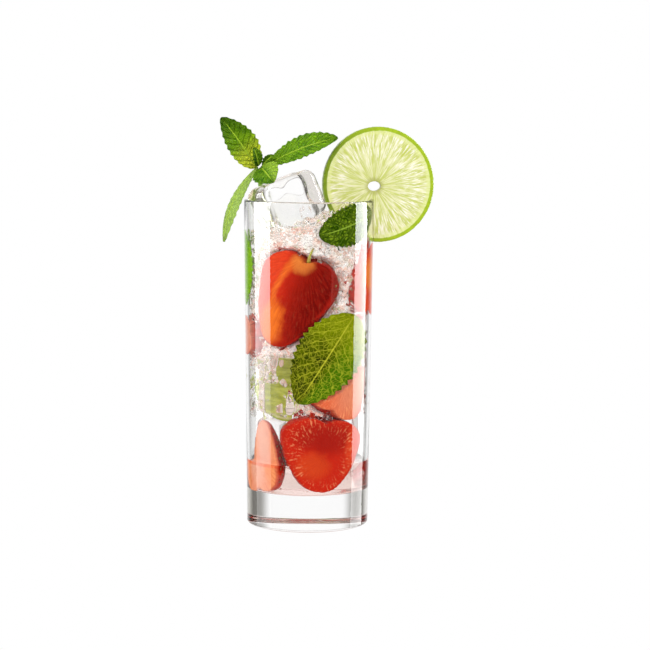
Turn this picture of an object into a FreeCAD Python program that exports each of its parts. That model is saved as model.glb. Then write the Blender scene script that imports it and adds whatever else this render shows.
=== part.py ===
"""A tall drink in a straight highball glass: crushed ice, ice cubes, halved strawberries, mint leaves
and a little liquid, with a lime slice on the rim and a sprig of mint. Millimetres, +Z up, origin at the
centre of the foot, front towards -Y."""
import FreeCAD, Part
import math
import os

Vector = FreeCAD.Vector
UP = Vector(0, 0, 1)
ACROSS = Vector(1, 0, 0)
BACK = Vector(0, 1, 0)

# Glass
glass_height = 156.0
rim_diameter = 62.0
foot_diameter = 58.0
wall = 1.8
floor_thickness = 17.5
foot_edge_radius = 4.5
floor_corner_radius = 4.0
rim_round = 0.42 * wall

# Levels inside the glass
liquid_depth = 13.0
liquid_level = floor_thickness + liquid_depth
ice_below_rim = 10.0
ice_level = glass_height - ice_below_rim
ice_slope = 0.16          # the heap is higher on the lime's side
ice_lump_height = 1.3
ice_lump_pitch = 17.0

# Clearances
slit_clearance = 0.3      # lime to glass, each side
leaf_to_wall = 0.2        # a leaf that lies against the inside of the glass
food_to_wall = 1.0        # fruit and cubes, with room for a leaf between them and the glass

# Leaves
leaf_thickness = 0.6
leaf_teeth = 11
leaf_tooth_depth = 0.09   # of the half width
stalk_half_width = 0.35   # where a blade starts and ends

# Lime slice
lime_width = 53.6
lime_height = 55.0
lime_thickness = 4.6
lime_hole_width = 6.4
lime_hole_height = 4.6
lime_hole_offset = (-2.0, -0.8)   # across and up from the middle of the slice
lime_turn = 7.0           # degrees that its left edge comes forward
lime_outside_rim = 2.0    # how far its middle lies outside the edge of the rim
lime_back = 5.5
lime_centre_above_rim = 7.3

# Mint sprig
sprig_inside_rim = 7.4
sprig_back = 11.0
sprig_above_rim = 15.0
stem_thickness = 2.4
stem_length = 46.0
stem_bend_radius = 160.0
leaf_start = 1.8          # from the middle of the stem to where its leaves begin

# What lies at the top of the ice
cube_inside_wall = 18.8   # middle of the top cube from the inside of the rim
cube_below_rim = 1.3
upper_leaf_below_rim = 10.7


def outer_radius(z):
    """Radius of the outside of the glass at a height."""
    return (foot_diameter + (rim_diameter - foot_diameter) * z / glass_height) / 2


def inner_radius(z):
    """Radius of the inside of the glass at a height."""
    return outer_radius(z) - wall


def tapered(radius_at, low, high, less=0.0):
    """A round solid that follows a radius between two heights, made smaller by less."""
    return Part.makeCone(radius_at(low) - less, radius_at(high) - less, high - low, Vector(0, 0, low))


def rounded_at(shape, height, radius):
    """Rounds the circular edges of a solid that lie at one height."""
    edges = [e for e in shape.Edges
             if abs(e.BoundBox.ZMax - height) < 1e-6 and abs(e.BoundBox.ZMin - height) < 1e-6]
    return shape.makeFillet(radius, edges)


def cavity():
    """The space inside the glass, from its floor to the rim, with a rounded floor corner."""
    space = tapered(inner_radius, floor_thickness, glass_height)
    return rounded_at(space, floor_thickness, floor_corner_radius)


def glass():
    body = tapered(outer_radius, 0.0, glass_height)
    body = rounded_at(body, 0.0, foot_edge_radius).cut(cavity())
    return rounded_at(body, glass_height, rim_round)


def ice_height(x, y):
    """Height of the top of the crushed ice."""
    turn = 2 * math.pi / ice_lump_pitch
    lumps = math.sin(turn * x + 0.6) * math.cos(turn * y) + 0.5 * math.sin(2 * turn * y + x * turn)
    return ice_level + ice_slope * x + ice_lump_height * lumps


def under_ice_surface():
    """Everything below the uneven top of the crushed ice, down to the liquid."""
    reach = rim_diameter * 0.6
    steps = 14
    marks = [reach * (2 * i / steps - 1) for i in range(steps + 1)]
    rows = [[Vector(x, y, ice_height(x, y)) for y in marks] for x in marks]
    surface = Part.BSplineSurface()
    surface.interpolate(rows)
    return surface.toShape().extrude(Vector(0, 0, -glass_height))


def placed(shape, lean=0.0, tip=0.0, turn=0.0, at=(0, 0, 0)):
    """Leans a shape in its own front plane, tips it back, turns it about the vertical and moves it."""
    origin = Vector(0, 0, 0)
    shape = shape.copy()
    shape.rotate(origin, BACK, lean)
    shape.rotate(origin, ACROSS, tip)
    shape.rotate(origin, UP, turn)
    shape.translate(Vector(*at))
    return shape


def berry_outline(length, width):
    """Half of a strawberry's outline, from its tip up to the dimple under its leaves."""
    half = width / 2
    shares = [(0.0, 0.0), (0.33, 0.045), (0.61, 0.20), (0.80, 0.38), (0.93, 0.58), (0.98, 0.80), (0.64, 0.99), (0.0, 0.95)]
    curve = Part.BSplineCurve()
    curve.interpolate([Vector(half * across, 0, length * along) for across, along in shares])
    return curve.toShape()


def half_berry(length, width, depth):
    """A strawberry cut from top to tip. Its cut face looks to the front and is centred on the origin."""
    outline = berry_outline(length, width)
    ends = [outline.Vertexes[0].Point, outline.Vertexes[-1].Point]
    core = Part.LineSegment(ends[1], ends[0]).toShape()
    face = Part.Face(Part.Wire([outline, core]))
    body = face.revolve(Vector(0, 0, 0), UP, 180)
    body.translate(Vector(0, 0, -length / 2))
    stretch = FreeCAD.Matrix()
    stretch.A22 = depth / (width / 2)
    return body.transformGeometry(stretch)


def berry_at_wall(bearing, height, length, width, depth, lean, level):
    """A half strawberry whose cut face stands near the glass. bearing is the way it faces, height its
    middle, lean its tilt in its own plane, and level the share of its width that fits between the walls."""
    room = inner_radius(height) - food_to_wall
    out = math.sqrt(room ** 2 - (level * width / 2) ** 2)
    angle = math.radians(bearing)
    at = (out * math.cos(angle), out * math.sin(angle), height)
    return placed(half_berry(length, width, depth), lean=lean, turn=bearing + 90, at=at)


def rounded_cube(across, deep, high, rounding):
    """An ice cube with soft edges, centred on the origin."""
    block = Part.makeBox(across, deep, high, Vector(-across / 2, -deep / 2, -high / 2))
    return block.makeFillet(rounding, block.Edges)


def leaf_half_width(share, valley, width, widest, bluntness=0.72):
    """Half the width of a mint leaf at a share of its length: widest is where its belly lies, valley is
    1 between two teeth and 0 on a tooth, and a lower bluntness gives rounder ends."""
    bow = math.sin(math.pi * share ** (math.log(0.5) / math.log(widest))) if 0 < share < 1 else 0.0
    return stalk_half_width + (width / 2 - stalk_half_width) * bow ** bluntness * (1 - leaf_tooth_depth * valley)


def leaf_stations(teeth):
    """(share of the length, 1 in a valley or 0 at a tooth) along one edge of a leaf."""
    steps = 2 * teeth
    return [(i / steps, (i + 1) % 2) for i in range(steps + 1)]


def wall_leaf(view, across, height, length, width, lean, widest=0.45, bluntness=0.65):
    """A leaf pressed against the inside of the glass. Its outline is cut along a bearing; it is centred
    that far across and that high, and points from stalk to tip along lean, in degrees from across."""
    one_edge = [(length * (share - 0.5), leaf_half_width(share, valley, width, widest, bluntness))
                for share, valley in leaf_stations(leaf_teeth)]
    outline = one_edge + [(along, -side) for along, side in reversed(one_edge)]
    turn, tilt = math.radians(view), math.radians(lean)
    sideways = Vector(-math.sin(turn), math.cos(turn), 0)
    outward = Vector(math.cos(turn), math.sin(turn), 0)
    points = []
    for along, side in outline:
        x = across + along * math.cos(tilt) - side * math.sin(tilt)
        z = height + along * math.sin(tilt) + side * math.cos(tilt)
        points.append(sideways * x + UP * z)
    blank = Part.Face(Part.makePolygon(points + points[:1])).extrude(outward * rim_diameter)
    low, high = height - length, min(height + length, glass_height)
    low = max(low, floor_thickness)
    skin = tapered(inner_radius, low, high, leaf_to_wall)
    skin = skin.cut(tapered(inner_radius, low, high, leaf_to_wall + leaf_thickness))
    return blank.common(skin)


def free_leaf(start, end, sag, face, width, fold, teeth, widest=0.43, twist=0.0):
    """A leaf in the air, from stalk to tip. sag bends it along its face, fold lifts its edges by that
    share of the half width, and twist turns its face, in degrees, on the way to the tip."""
    run = end - start
    normal = Vector(*face)
    normal = (normal - run * (normal.dot(run) / run.dot(run))).normalize()
    sections = []
    for share, valley in leaf_stations(teeth):
        middle = start + run * share + normal * (4 * sag * share * (1 - share))
        along = (run + normal * (4 * sag * (1 - 2 * share))).normalize()
        turned = FreeCAD.Rotation(along, twist * share)
        side = turned.multVec(normal).cross(along).normalize()
        up = along.cross(side).normalize()
        half = leaf_half_width(share, valley, width, widest)
        lift = up * (fold * half)
        skin = up * (leaf_thickness / 2)
        ring = [middle - side * half + lift + skin, middle + skin, middle + side * half + lift + skin,
                middle + side * half + lift - skin, middle - skin, middle - side * half + lift - skin]
        sections.append(Part.makePolygon(ring + ring[:1]))
    return Part.makeLoft(sections, True, True)


def lime_slice():
    """A round of lime with an open core, slit from its lower edge so that it sits on the rim."""
    disc = Part.makeCylinder(1.0, lime_thickness, Vector(0, lime_thickness / 2, 0), Vector(0, -1, 0))
    shape = FreeCAD.Matrix()
    shape.A11, shape.A33 = lime_width / 2, lime_height / 2
    disc = disc.transformGeometry(shape)
    core = Part.makeCylinder(1.0, 2 * lime_thickness, Vector(0, lime_thickness, 0), Vector(0, -1, 0))
    shape = FreeCAD.Matrix()
    shape.A11, shape.A33 = lime_hole_width / 2, lime_hole_height / 2
    core = core.transformGeometry(shape)
    core.translate(Vector(lime_hole_offset[0], 0, lime_hole_offset[1]))
    disc = disc.cut(core)
    centre = (rim_diameter / 2 + lime_outside_rim, lime_back, glass_height + lime_centre_above_rim)
    disc = placed(disc, turn=lime_turn, at=centre)
    low = glass_height - lime_height
    slit = tapered(outer_radius, low, glass_height, -slit_clearance)
    slit = slit.cut(tapered(inner_radius, low, glass_height, slit_clearance))
    return disc.cut(slit)


def lime_wedge(length, depth, span):
    """A wedge of lime: a slice of a ball drawn out to its length, with its thin edge at the origin."""
    half = length / 2
    curve = Part.Arc(Vector(0, 0, -half), Vector(depth, 0, 0), Vector(0, 0, half)).toShape()
    edge = Part.LineSegment(Vector(0, 0, half), Vector(0, 0, -half)).toShape()
    return Part.Face(Part.Wire([curve, edge])).revolve(Vector(0, 0, 0), UP, span)


def sprig_node():
    """Where the sprig's leaves meet, above the rim."""
    return Vector(sprig_inside_rim - rim_diameter / 2, sprig_back, glass_height + sprig_above_rim)


def stem():
    """The sprig's stem, from its leaves down into the ice, gently bowed."""
    top = sprig_node() - UP * leaf_thickness
    angle = stem_length / stem_bend_radius
    centre = top + Vector(stem_bend_radius, 0, 0)
    mark = [centre + Vector(-stem_bend_radius * math.cos(a), 0, -stem_bend_radius * math.sin(a))
            for a in (0, angle / 2, angle)]
    path = Part.Wire([Part.Arc(*mark).toShape()])
    half = stem_thickness / 2
    corners = [top + Vector(x * half, y * half, 0) for x, y in ((-1, -1), (1, -1), (1, 1), (-1, 1))]
    section = Part.makePolygon(corners + corners[:1])
    return path.makePipeShell([section], True, False)


def sprig_leaf(direction, reach, rise=0.0, **shape):
    """A leaf that starts at the side of the stem's top, or that far above it, and points a given way."""
    toward = Vector(*direction).normalize()
    start = sprig_node() + UP * rise + Vector(toward.x, toward.y, 0).normalize() * leaf_start
    return free_leaf(start, start + toward * reach, **shape)


def sprig_leaves():
    """The sprig's leaves by name: four grown ones and two young ones at the tip."""
    return {
        "sprig_leaf_upper_left": sprig_leaf((-17.3, -5, 24.3), 29.5, sag=1.4, face=(0.35, -1, 0.25),
                                            width=16.5, fold=0.2, teeth=10),
        "sprig_leaf_right": sprig_leaf((36, -13.5, 14.8), 40.5, sag=2.4, face=(-0.25, -0.7, 0.75),
                                       width=16.5, fold=0.12, teeth=12, widest=0.55),
        "sprig_leaf_hanging": sprig_leaf((-15.0, -17.5, -34), 42, sag=-4.0, face=(0.75, 0.6, 0.1),
                                         width=10.8, fold=0.15, teeth=12, widest=0.52),
        "sprig_leaf_front": sprig_leaf((6.5, -25.5, -6.2), 27, sag=2.2, face=(-0.54, -0.36, 0.74),
                                       width=14.5, fold=0.1, teeth=8, widest=0.6),
        "sprig_leaf_young_right": sprig_leaf((6.5, -6.5, 6.5), 9, rise=0.7, sag=0.4, face=(-0.3, -0.8, 0.5),
                                             width=5.0, fold=0.25, teeth=5),
        "sprig_leaf_young_up": sprig_leaf((-2.4, -5.0, 9.5), 10, rise=0.8, sag=0.5, face=(0.6, -1, 0.3),
                                          width=6, fold=0.3, teeth=5),
    }


def berries():
    """Halved strawberries by name, each with its cut face towards the glass."""
    return {
        "strawberry_upper": berry_at_wall(-110, 109.0, 43.5, 36.5, 15, 22, 1.0),
        "strawberry_right": berry_at_wall(-12, 119.6, 33.5, 26, 7.5, -168, 1.0),
        "strawberry_lower": berry_at_wall(-75, 36.3, 33.6, 38.5, 11, 6, 1.0),
        "strawberry_lower_left": berry_at_wall(-149, 35.0, 33, 25, 9, 172, 1.0),
        "strawberry_middle_right": berry_at_wall(-50, 70.6, 30, 30, 11, -150, 1.0),
        "strawberry_left": berry_at_wall(178, 90.2, 24, 19, 13, 75, 1.2),
        "strawberry_back": berry_at_wall(75, 64.0, 38, 32, 14, -15, 1.0),
    }


def cubes():
    """Ice cubes by name."""
    return {
        "ice_cube_top": placed(placed(rounded_cube(28.5, 27.5, 24, 6.0), turn=35), lean=-22, tip=1.5,
                               at=(cube_inside_wall - inner_radius(glass_height), -1.7,
                                   glass_height - cube_below_rim)),
        "ice_cube_left": placed(rounded_cube(20, 13, 27, 3.5), turn=-28, tip=-3, at=(-12.0, -13.5, 68.5)),
        "ice_cube_right": placed(rounded_cube(15, 13, 23, 3.0), turn=112, lean=3, at=(17.0, 6.9, 43.5)),
        "ice_cube_low_left": placed(rounded_cube(13, 12, 18, 3.0), turn=70, lean=-5, at=(-17.5, 6.0, 41.8)),
    }


def wall_leaves():
    """Mint leaves against the inside of the glass, by name."""
    return {
        "mint_leaf_centre": wall_leaf(-90, 8.3, 82.4, 48.5, 32, -122),
        "mint_leaf_upper_right": wall_leaf(-50, 1.6, glass_height - upper_leaf_below_rim, 34, 20, -163,
                                           widest=0.52, bluntness=0.58),
        "mint_leaf_left": wall_leaf(-172, 0.0, 124.0, 36, 20, -86),
        "mint_leaf_back": wall_leaf(74, 0.0, 104.0, 40, 25, -60),
    }


def build():
    nodes = {"glass": glass(), "lime_slice": lime_slice(), "sprig_stem": stem()}
    nodes.update(sprig_leaves())
    inside = cavity()
    room = tapered(inner_radius, floor_thickness + leaf_to_wall, glass_height, food_to_wall)
    food = {"lime_wedge": placed(lime_wedge(34, 22, 45), lean=-4, turn=107, at=(-7.0, -6.2, 67.0))}
    food.update(berries())
    food.update(cubes())
    top_cube = food.pop("ice_cube_top")
    sunk = {name: shape.common(room) for name, shape in food.items()}
    sunk["ice_cube_top"] = top_cube
    sunk.update(wall_leaves())
    nodes.update(sunk)
    reach = 2 * rim_diameter
    below = Part.makeBox(reach, reach, liquid_level, Vector(-reach / 2, -reach / 2, 0))
    tools = list(sunk.values()) + [nodes["lime_slice"], nodes["sprig_stem"]]
    nodes["drink"] = inside.common(below).cut(tools)
    nodes["crushed_ice"] = inside.cut(below).common(under_ice_surface()).cut(tools)
    return nodes


def export(nodes):
    os.makedirs("parts", exist_ok=True)
    for name, shape in nodes.items():
        solids = [s for s in shape.Solids if s.Volume > 1.0]
        shape = solids[0] if len(solids) == 1 else Part.makeCompound(solids)
        shape.exportStep("parts/" + name + ".step")
        print(f"{name:26s} {len(solids)} solid(s) {shape.Volume / 1000:8.2f} cm3  valid {shape.isValid()}")


export(build())
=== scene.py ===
"""A tall glass of crushed ice with halved strawberries, mint and lime, finished for rendering.

Shapes are worked out in millimetres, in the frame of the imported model, and become metres when a mesh is made.
The front looks towards -Y."""
import math
import random

import bmesh
import bpy
import numpy as np
from mathutils import Matrix, Vector, noise
from mathutils.bvhtree import BVHTree
from mathutils.kdtree import KDTree


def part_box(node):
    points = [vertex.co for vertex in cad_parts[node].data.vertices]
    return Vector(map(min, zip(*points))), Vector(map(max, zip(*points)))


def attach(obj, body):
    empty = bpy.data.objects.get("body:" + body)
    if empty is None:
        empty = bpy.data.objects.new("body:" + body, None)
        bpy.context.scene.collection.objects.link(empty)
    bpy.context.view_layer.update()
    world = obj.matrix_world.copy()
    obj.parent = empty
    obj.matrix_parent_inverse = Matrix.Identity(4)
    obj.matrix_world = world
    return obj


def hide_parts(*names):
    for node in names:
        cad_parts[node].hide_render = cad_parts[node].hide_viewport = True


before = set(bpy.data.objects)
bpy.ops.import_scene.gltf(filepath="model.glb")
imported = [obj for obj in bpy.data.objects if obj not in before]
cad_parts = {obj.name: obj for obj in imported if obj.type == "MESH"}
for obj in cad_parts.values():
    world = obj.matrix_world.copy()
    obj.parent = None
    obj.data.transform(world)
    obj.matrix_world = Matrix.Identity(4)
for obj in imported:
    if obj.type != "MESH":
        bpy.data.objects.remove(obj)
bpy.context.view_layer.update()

scene = bpy.context.scene
MM = 0.001
UP = Vector((0, 0, 1))

# Sizes of the glass and of what fills it, in millimetres
glass_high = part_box("glass")[1]
glass_height = glass_high.z / MM
rim_radius = glass_high.x / MM
foot_radius = 29.0
wall = 1.8
floor_thickness = 17.5
foot_edge_radius = 4.5
foot_edge_squash = 0.4    # height of the rounded edge under the foot against its width
floor_corner_radius = 4.0
rim_round = 0.42 * wall
liquid_level = 30.5
meniscus = 1.3            # how far the drink climbs at the wall
wet_contact = 0.04        # how far a wet piece reaches into the wall, so that no air lies between

leaf_thickness = 0.6
leaf_tooth_depth = 0.11
stalk_half_width = 0.35


def outer_radius(z):
    return foot_radius + (rim_radius - foot_radius) * z / glass_height


def inner_radius(z):
    return outer_radius(z) - wall


def ease(low, high, x):
    """0 at low, 1 at high and a soft rise between, for a number or an array."""
    x = np.clip((x - low) / (high - low), 0.0, 1.0)
    return x * x * (3 - 2 * x)


def heading(angle):
    """The level direction at an angle from +X, in radians."""
    return Vector((math.cos(angle), math.sin(angle), 0))


# ---------------------------------------------------------------- node trees

class Wire:
    """An output socket that can stand in an expression."""

    def __init__(self, sheet, socket):
        self.sheet, self.socket = sheet, socket

    def maths(self, operation, *others):
        values = {i: v for i, v in enumerate((self,) + others)}
        return self.sheet.node("ShaderNodeMath", {"operation": operation}, values)

    def __add__(self, other):
        return self.maths("ADD", other)

    def __sub__(self, other):
        return self.maths("SUBTRACT", other)

    def __mul__(self, other):
        return self.maths("MULTIPLY", other)

    def __truediv__(self, other):
        return self.maths("DIVIDE", other)

    def __rsub__(self, other):
        return self.maths("MULTIPLY", -1.0).maths("ADD", other)

    __radd__, __rmul__ = __add__, __mul__

    def ramp(self, low, high, start=0.0, end=1.0):
        """A soft rise from start to end while this goes from low to high."""
        sockets = {0: self, 1: low, 2: high, 3: start, 4: end}
        if low > high:
            sockets.update({1: high, 2: low, 3: end, 4: start})
        return self.sheet.node("ShaderNodeMapRange", {"interpolation_type": "SMOOTHSTEP"}, sockets)


class Sheet:
    """A node tree being filled in."""

    def __init__(self, tree):
        self.tree = tree

    def node(self, kind, settings=None, sockets=None, output=0):
        """Adds a node, its settings first and then its sockets, and gives back one of its outputs."""
        made = self.tree.nodes.new(kind)
        for name, value in (settings or {}).items():
            if name == "stops":
                stops = made.color_ramp.elements
                while len(stops) < len(value):
                    stops.new(0.5)
                for stop, (place, colour) in zip(stops, value):
                    stop.position, stop.color = place, tuple(colour) + (1.0,)
            else:
                setattr(made, name, value)
        for key, value in (sockets or {}).items():
            if isinstance(value, Wire):
                self.tree.links.new(value.socket, made.inputs[key])
            else:
                made.inputs[key].default_value = value
        return Wire(self, made.outputs[output]) if made.outputs else None

    def mixed(self, share, first, second):
        """A colour between two colours."""
        full = [c if isinstance(c, Wire) else tuple(c) + (1.0,) for c in (first, second)]
        return self.node("ShaderNodeMix", {"data_type": "RGBA"}, {0: share, 6: full[0], 7: full[1]}, 2)

    def layered(self, colour, *layers):
        """A colour with others laid over it, each by its share. A layer without a colour is left out."""
        for share, tone in layers:
            colour = self.mixed(share, colour, tone) if tone else colour
        return colour

    def split(self, vector):
        """The three numbers of a vector."""
        parts = self.node("ShaderNodeSeparateXYZ", None, {0: vector})
        return [Wire(self, parts.socket.node.outputs[i]) for i in range(3)]

    def joined(self, x, y, z):
        return self.node("ShaderNodeCombineXYZ", None, {0: x, 1: y, 2: z})

    def scaled(self, vector, size):
        return self.node("ShaderNodeVectorMath", {"operation": "SCALE"}, {0: vector, "Scale": size})

    def place(self, scale=1.0):
        """Object coordinates in millimetres times scale."""
        at = self.node("ShaderNodeTexCoord", None, None, "Object")
        return self.node("ShaderNodeMapping", None, {"Vector": at, "Scale": (scale / MM,) * 3})

    def ray(self, kind):
        """What is known of the ray that meets the surface."""
        return self.node("ShaderNodeLightPath", None, None, kind)

    def carried(self, name):
        """A vector stored on the mesh."""
        return self.node("ShaderNodeAttribute", {"attribute_name": name}, None, "Vector")

    def grain(self, at, detail=2.0, output="Fac", scale=1.0):
        return self.node("ShaderNodeTexNoise", None, {"Vector": at, "Scale": scale, "Detail": detail}, output)

    def cells(self, at, feature="F1", output="Distance"):
        return self.node("ShaderNodeTexVoronoi", {"feature": feature}, {"Vector": at, "Scale": 1.0}, output)

    def chance(self, kind, low, high, seed):
        """A random value for each point."""
        first, output = {"FLOAT_VECTOR": (0, 0), "FLOAT": (2, 1), "INT": (4, 2)}[kind]
        sockets = {first: low, first + 1: high, "Seed": seed}
        return self.node("FunctionNodeRandomValue", {"data_type": kind}, sockets, output)

    def bumped(self, height, depth):
        """A normal from a height between 0 and 1, that deep in millimetres."""
        return self.node("ShaderNodeBump", None, {"Height": height, "Distance": depth * MM})


def finish(name):
    """A new material and the sheet of its nodes."""
    material = bpy.data.materials.new(name)
    material.use_nodes = True
    material.node_tree.nodes.clear()
    return material, Sheet(material.node_tree)


def solid_finish(material, sheet, sockets):
    """Closes a material with one Principled shader."""
    shader = sheet.node("ShaderNodeBsdfPrincipled", None, sockets)
    sheet.node("ShaderNodeOutputMaterial", None, {"Surface": shader})
    return material


def clear_finish(name, tint, ior):
    """Glass, ice or liquid that lets the lamps reach what is behind it."""
    material, sheet = finish(name)
    colour = tuple(tint) + (1.0,)
    sockets = {"Base Color": colour, "Transmission Weight": 1.0, "IOR": ior, "Roughness": 0.0}
    either = sheet.node("ShaderNodeBsdfPrincipled", None, sockets)
    passing = sheet.node("ShaderNodeBsdfTransparent", None, {"Color": colour})
    for kind in ("Is Diffuse Ray", "Is Shadow Ray"):
        either = sheet.node("ShaderNodeMixShader", None, {0: sheet.ray(kind), 1: either, 2: passing})
    sheet.node("ShaderNodeOutputMaterial", None, {"Surface": either})
    return material


# ---------------------------------------------------------------- meshes

def new_piece(name, points, faces):
    """A smooth object from points in millimetres, with its faces turned outwards."""
    mesh = bpy.data.meshes.new(name)
    mesh.from_pydata([Vector(p) * MM for p in points], [], faces)
    body = bmesh.new()
    body.from_mesh(mesh)
    bmesh.ops.recalc_face_normals(body, faces=body.faces)
    body.to_mesh(mesh)
    body.free()
    mesh.shade_smooth()
    return placed_object(name, mesh)


def placed_object(name, data):
    piece = bpy.data.objects.new(name, data)
    scene.collection.objects.link(piece)
    return piece


def settle(piece, material, slot, *nodes):
    """Gives a piece its material and its body and hides the nodes it stands for. slot is not used."""
    piece.data.materials.clear()
    piece.data.materials.append(material)
    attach(piece, "root")
    if nodes:
        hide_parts(*nodes)


def applied(piece):
    """Turns a piece with modifiers into a plain mesh."""
    shape = piece.evaluated_get(bpy.context.evaluated_depsgraph_get())
    mesh = bpy.data.meshes.new_from_object(shape)
    piece.modifiers.clear()
    piece.data = mesh
    return piece


def spots_of(mesh, what="co"):
    """The vertices of a mesh as an array: their places in millimetres, or their normals."""
    values = np.empty(len(mesh.vertices) * 3)
    mesh.vertices.foreach_get(what, values)
    return values.reshape(-1, 3) / (MM if what == "co" else 1.0)


def move_spots(mesh, spots):
    mesh.vertices.foreach_set("co", (spots * MM).ravel())
    mesh.update()


def hold_within(mesh, spots, most):
    """Moves the vertices of a mesh to these places, none of them farther from the axis than most."""
    out = np.hypot(spots[:, 0], spots[:, 1])
    spots[:, :2] *= np.minimum(1.0, most / np.maximum(out, 1e-6))[:, None]
    move_spots(mesh, spots)


def keep_on(mesh, name, values, kind="FLOAT_VECTOR"):
    """Stores one value or vector per vertex under a name."""
    layer = mesh.attributes.new(name, kind, "POINT")
    layer.data.foreach_set("vector" if kind == "FLOAT_VECTOR" else "value", np.asarray(values, float).ravel())


def through(matrix, spots):
    """An array of points through a matrix."""
    m = np.array(matrix)
    return spots @ m[:3, :3].T + m[:3, 3]


def even_copy(name, node, size):
    """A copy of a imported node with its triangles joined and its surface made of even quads."""
    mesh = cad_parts[node].data.copy()
    body = bmesh.new()
    body.from_mesh(mesh)
    bmesh.ops.remove_doubles(body, verts=body.verts, dist=1e-6)
    body.to_mesh(mesh)
    body.free()
    piece = placed_object(name, mesh)
    even = piece.modifiers.new("even", "REMESH")
    even.mode, even.voxel_size, even.use_smooth_shade = "VOXEL", size * MM, True
    return applied(piece)


def tree_of(*meshes):
    """Something to cast rays at, in millimetres."""
    points, faces = [], []
    for mesh in meshes:
        start = len(points)
        points += [v.co / MM for v in mesh.vertices]
        faces += [[start + i for i in f.vertices] for f in mesh.polygons]
    return BVHTree.FromPolygons(points, faces)


def solid_of(*nodes):
    return tree_of(*(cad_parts[node].data for node in nodes))


def placing(lean=0.0, tip=0.0, turn=0.0, at=(0, 0, 0)):
    """Leans about +Y, tips about +X, turns about +Z, in degrees, and moves."""
    turned = [Matrix.Rotation(math.radians(a), 4, axis) for a, axis in ((turn, "Z"), (tip, "X"), (lean, "Y"))]
    return Matrix.Translation(at) @ turned[0] @ turned[1] @ turned[2]


def corner(across, up, radius, start, end, steps=8, tall=1.0):
    """Points of an arc in a profile, from one angle to another in degrees, tall times as high as wide."""
    angles = [math.radians(start + (end - start) * i / steps) for i in range(steps + 1)]
    return [(across + radius * math.cos(a), up + tall * radius * math.sin(a)) for a in angles]


def band_faces(sides, rings, first=0):
    """The faces between rings of points that follow each other."""
    return [(a + j, a + (j + 1) % sides, a + sides + (j + 1) % sides, a + sides + j)
            for a in range(first, first + (rings - 1) * sides, sides) for j in range(sides)]


def fan_faces(sides, first, tip):
    """The faces between a ring of points and one more point."""
    return [(first + j, first + (j + 1) % sides, tip) for j in range(sides)]


def lathe(name, profile, sides=192):
    """A closed solid turned about the vertical from a profile that starts and ends on the axis."""
    ways = [heading(2 * math.pi * i / sides) for i in range(sides)]
    points = [way * radius + UP * height for radius, height in profile[1:-1] for way in ways]
    count = len(points)
    faces = band_faces(sides, len(profile) - 2) + fan_faces(sides, 0, count)
    faces += fan_faces(sides, count - sides, count + 1)
    return new_piece(name, points + [UP * profile[0][1], UP * profile[-1][1]], faces)


def rod(name, rings):
    """A closed solid over rings of points, with flat ends."""
    sides = len(rings[0])
    points = [spot for ring in rings for spot in ring]
    ends = [tuple(range(sides)), tuple(range(len(points) - sides, len(points)))]
    return new_piece(name, points, band_faces(sides, len(rings)) + ends)


# ---------------------------------------------------------------- glass and drink

def glass_profile():
    marks = [(outer_radius(z), z) for z in (20.0, 60.0, 100.0, 140.0)]
    foot = outer_radius(foot_edge_radius) - foot_edge_radius
    profile = [(0, 0)] + [(r, 0.0) for r in (8.0, 16.0, 22.0)]
    profile += corner(foot, foot_edge_squash * foot_edge_radius, foot_edge_radius, -90, 0, 14,
                      foot_edge_squash) + marks
    top = glass_height - rim_round
    profile += corner(rim_radius - rim_round, top, rim_round, 0, 90)
    profile += corner(rim_radius - wall + rim_round, top, rim_round, 90, 180)
    profile += [(r - wall, z) for r, z in reversed(marks[1:])]
    low = floor_thickness + floor_corner_radius
    profile += corner(inner_radius(low) - floor_corner_radius, low, floor_corner_radius, 0, -90, 12)
    return profile + [(r, floor_thickness) for r in (16.0, 8.0, 0)]


def drink_profile():
    """The liquid reaches just into the floor and wall, and climbs a little where it meets the wall."""
    low = floor_thickness + floor_corner_radius
    side = inner_radius(low) - floor_corner_radius + wet_contact
    profile = [(r, floor_thickness - wet_contact) for r in (0, 8.0, 16.0)]
    profile += corner(side, low, floor_corner_radius, -90, 0, 12)
    edge = inner_radius(liquid_level) + wet_contact
    profile += [(edge, liquid_level + meniscus)]
    profile += [(edge - 0.25 - 2.0 * s, liquid_level + meniscus * (1 - s) ** 2.5)
                for s in (0.0, 0.15, 0.35, 0.6, 1.0)]
    return profile + [(r, liquid_level) for r in (18.0, 9.0, 0)]


def round_drops(name, drops, squash):
    """Small round bubbles, each at an angle, a distance from the axis and a height, with its radius."""
    points, faces = [], []
    for angle, out, height, radius in drops:
        centre = heading(angle) * out + UP * height
        ball = bmesh.new()
        bmesh.ops.create_icosphere(ball, subdivisions=3, radius=radius)
        start = len(points)
        points += [centre + Vector((v.co.x, v.co.y, v.co.z * squash)) for v in ball.verts]
        faces += [[start + v.index for v in f.verts] for f in ball.faces]
        ball.free()
    return new_piece(name, points, faces)


clear_glass = clear_finish("clear_glass", (1.0, 1.0, 1.0), 1.5)
pink_drink = clear_finish("pink_drink", (0.985, 0.80, 0.755), 1.333)
clear_ice = clear_finish("clear_ice", (0.99, 0.985, 0.98), 1.31)
air_bubble = clear_finish("air_bubble", (1.0, 1.0, 1.0), 0.75)
settle(lathe("glass_tumbler", glass_profile()), clear_glass, "glass", "glass")
settle(lathe("pink_liquid", drink_profile()), pink_drink, "drink", "drink")

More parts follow.
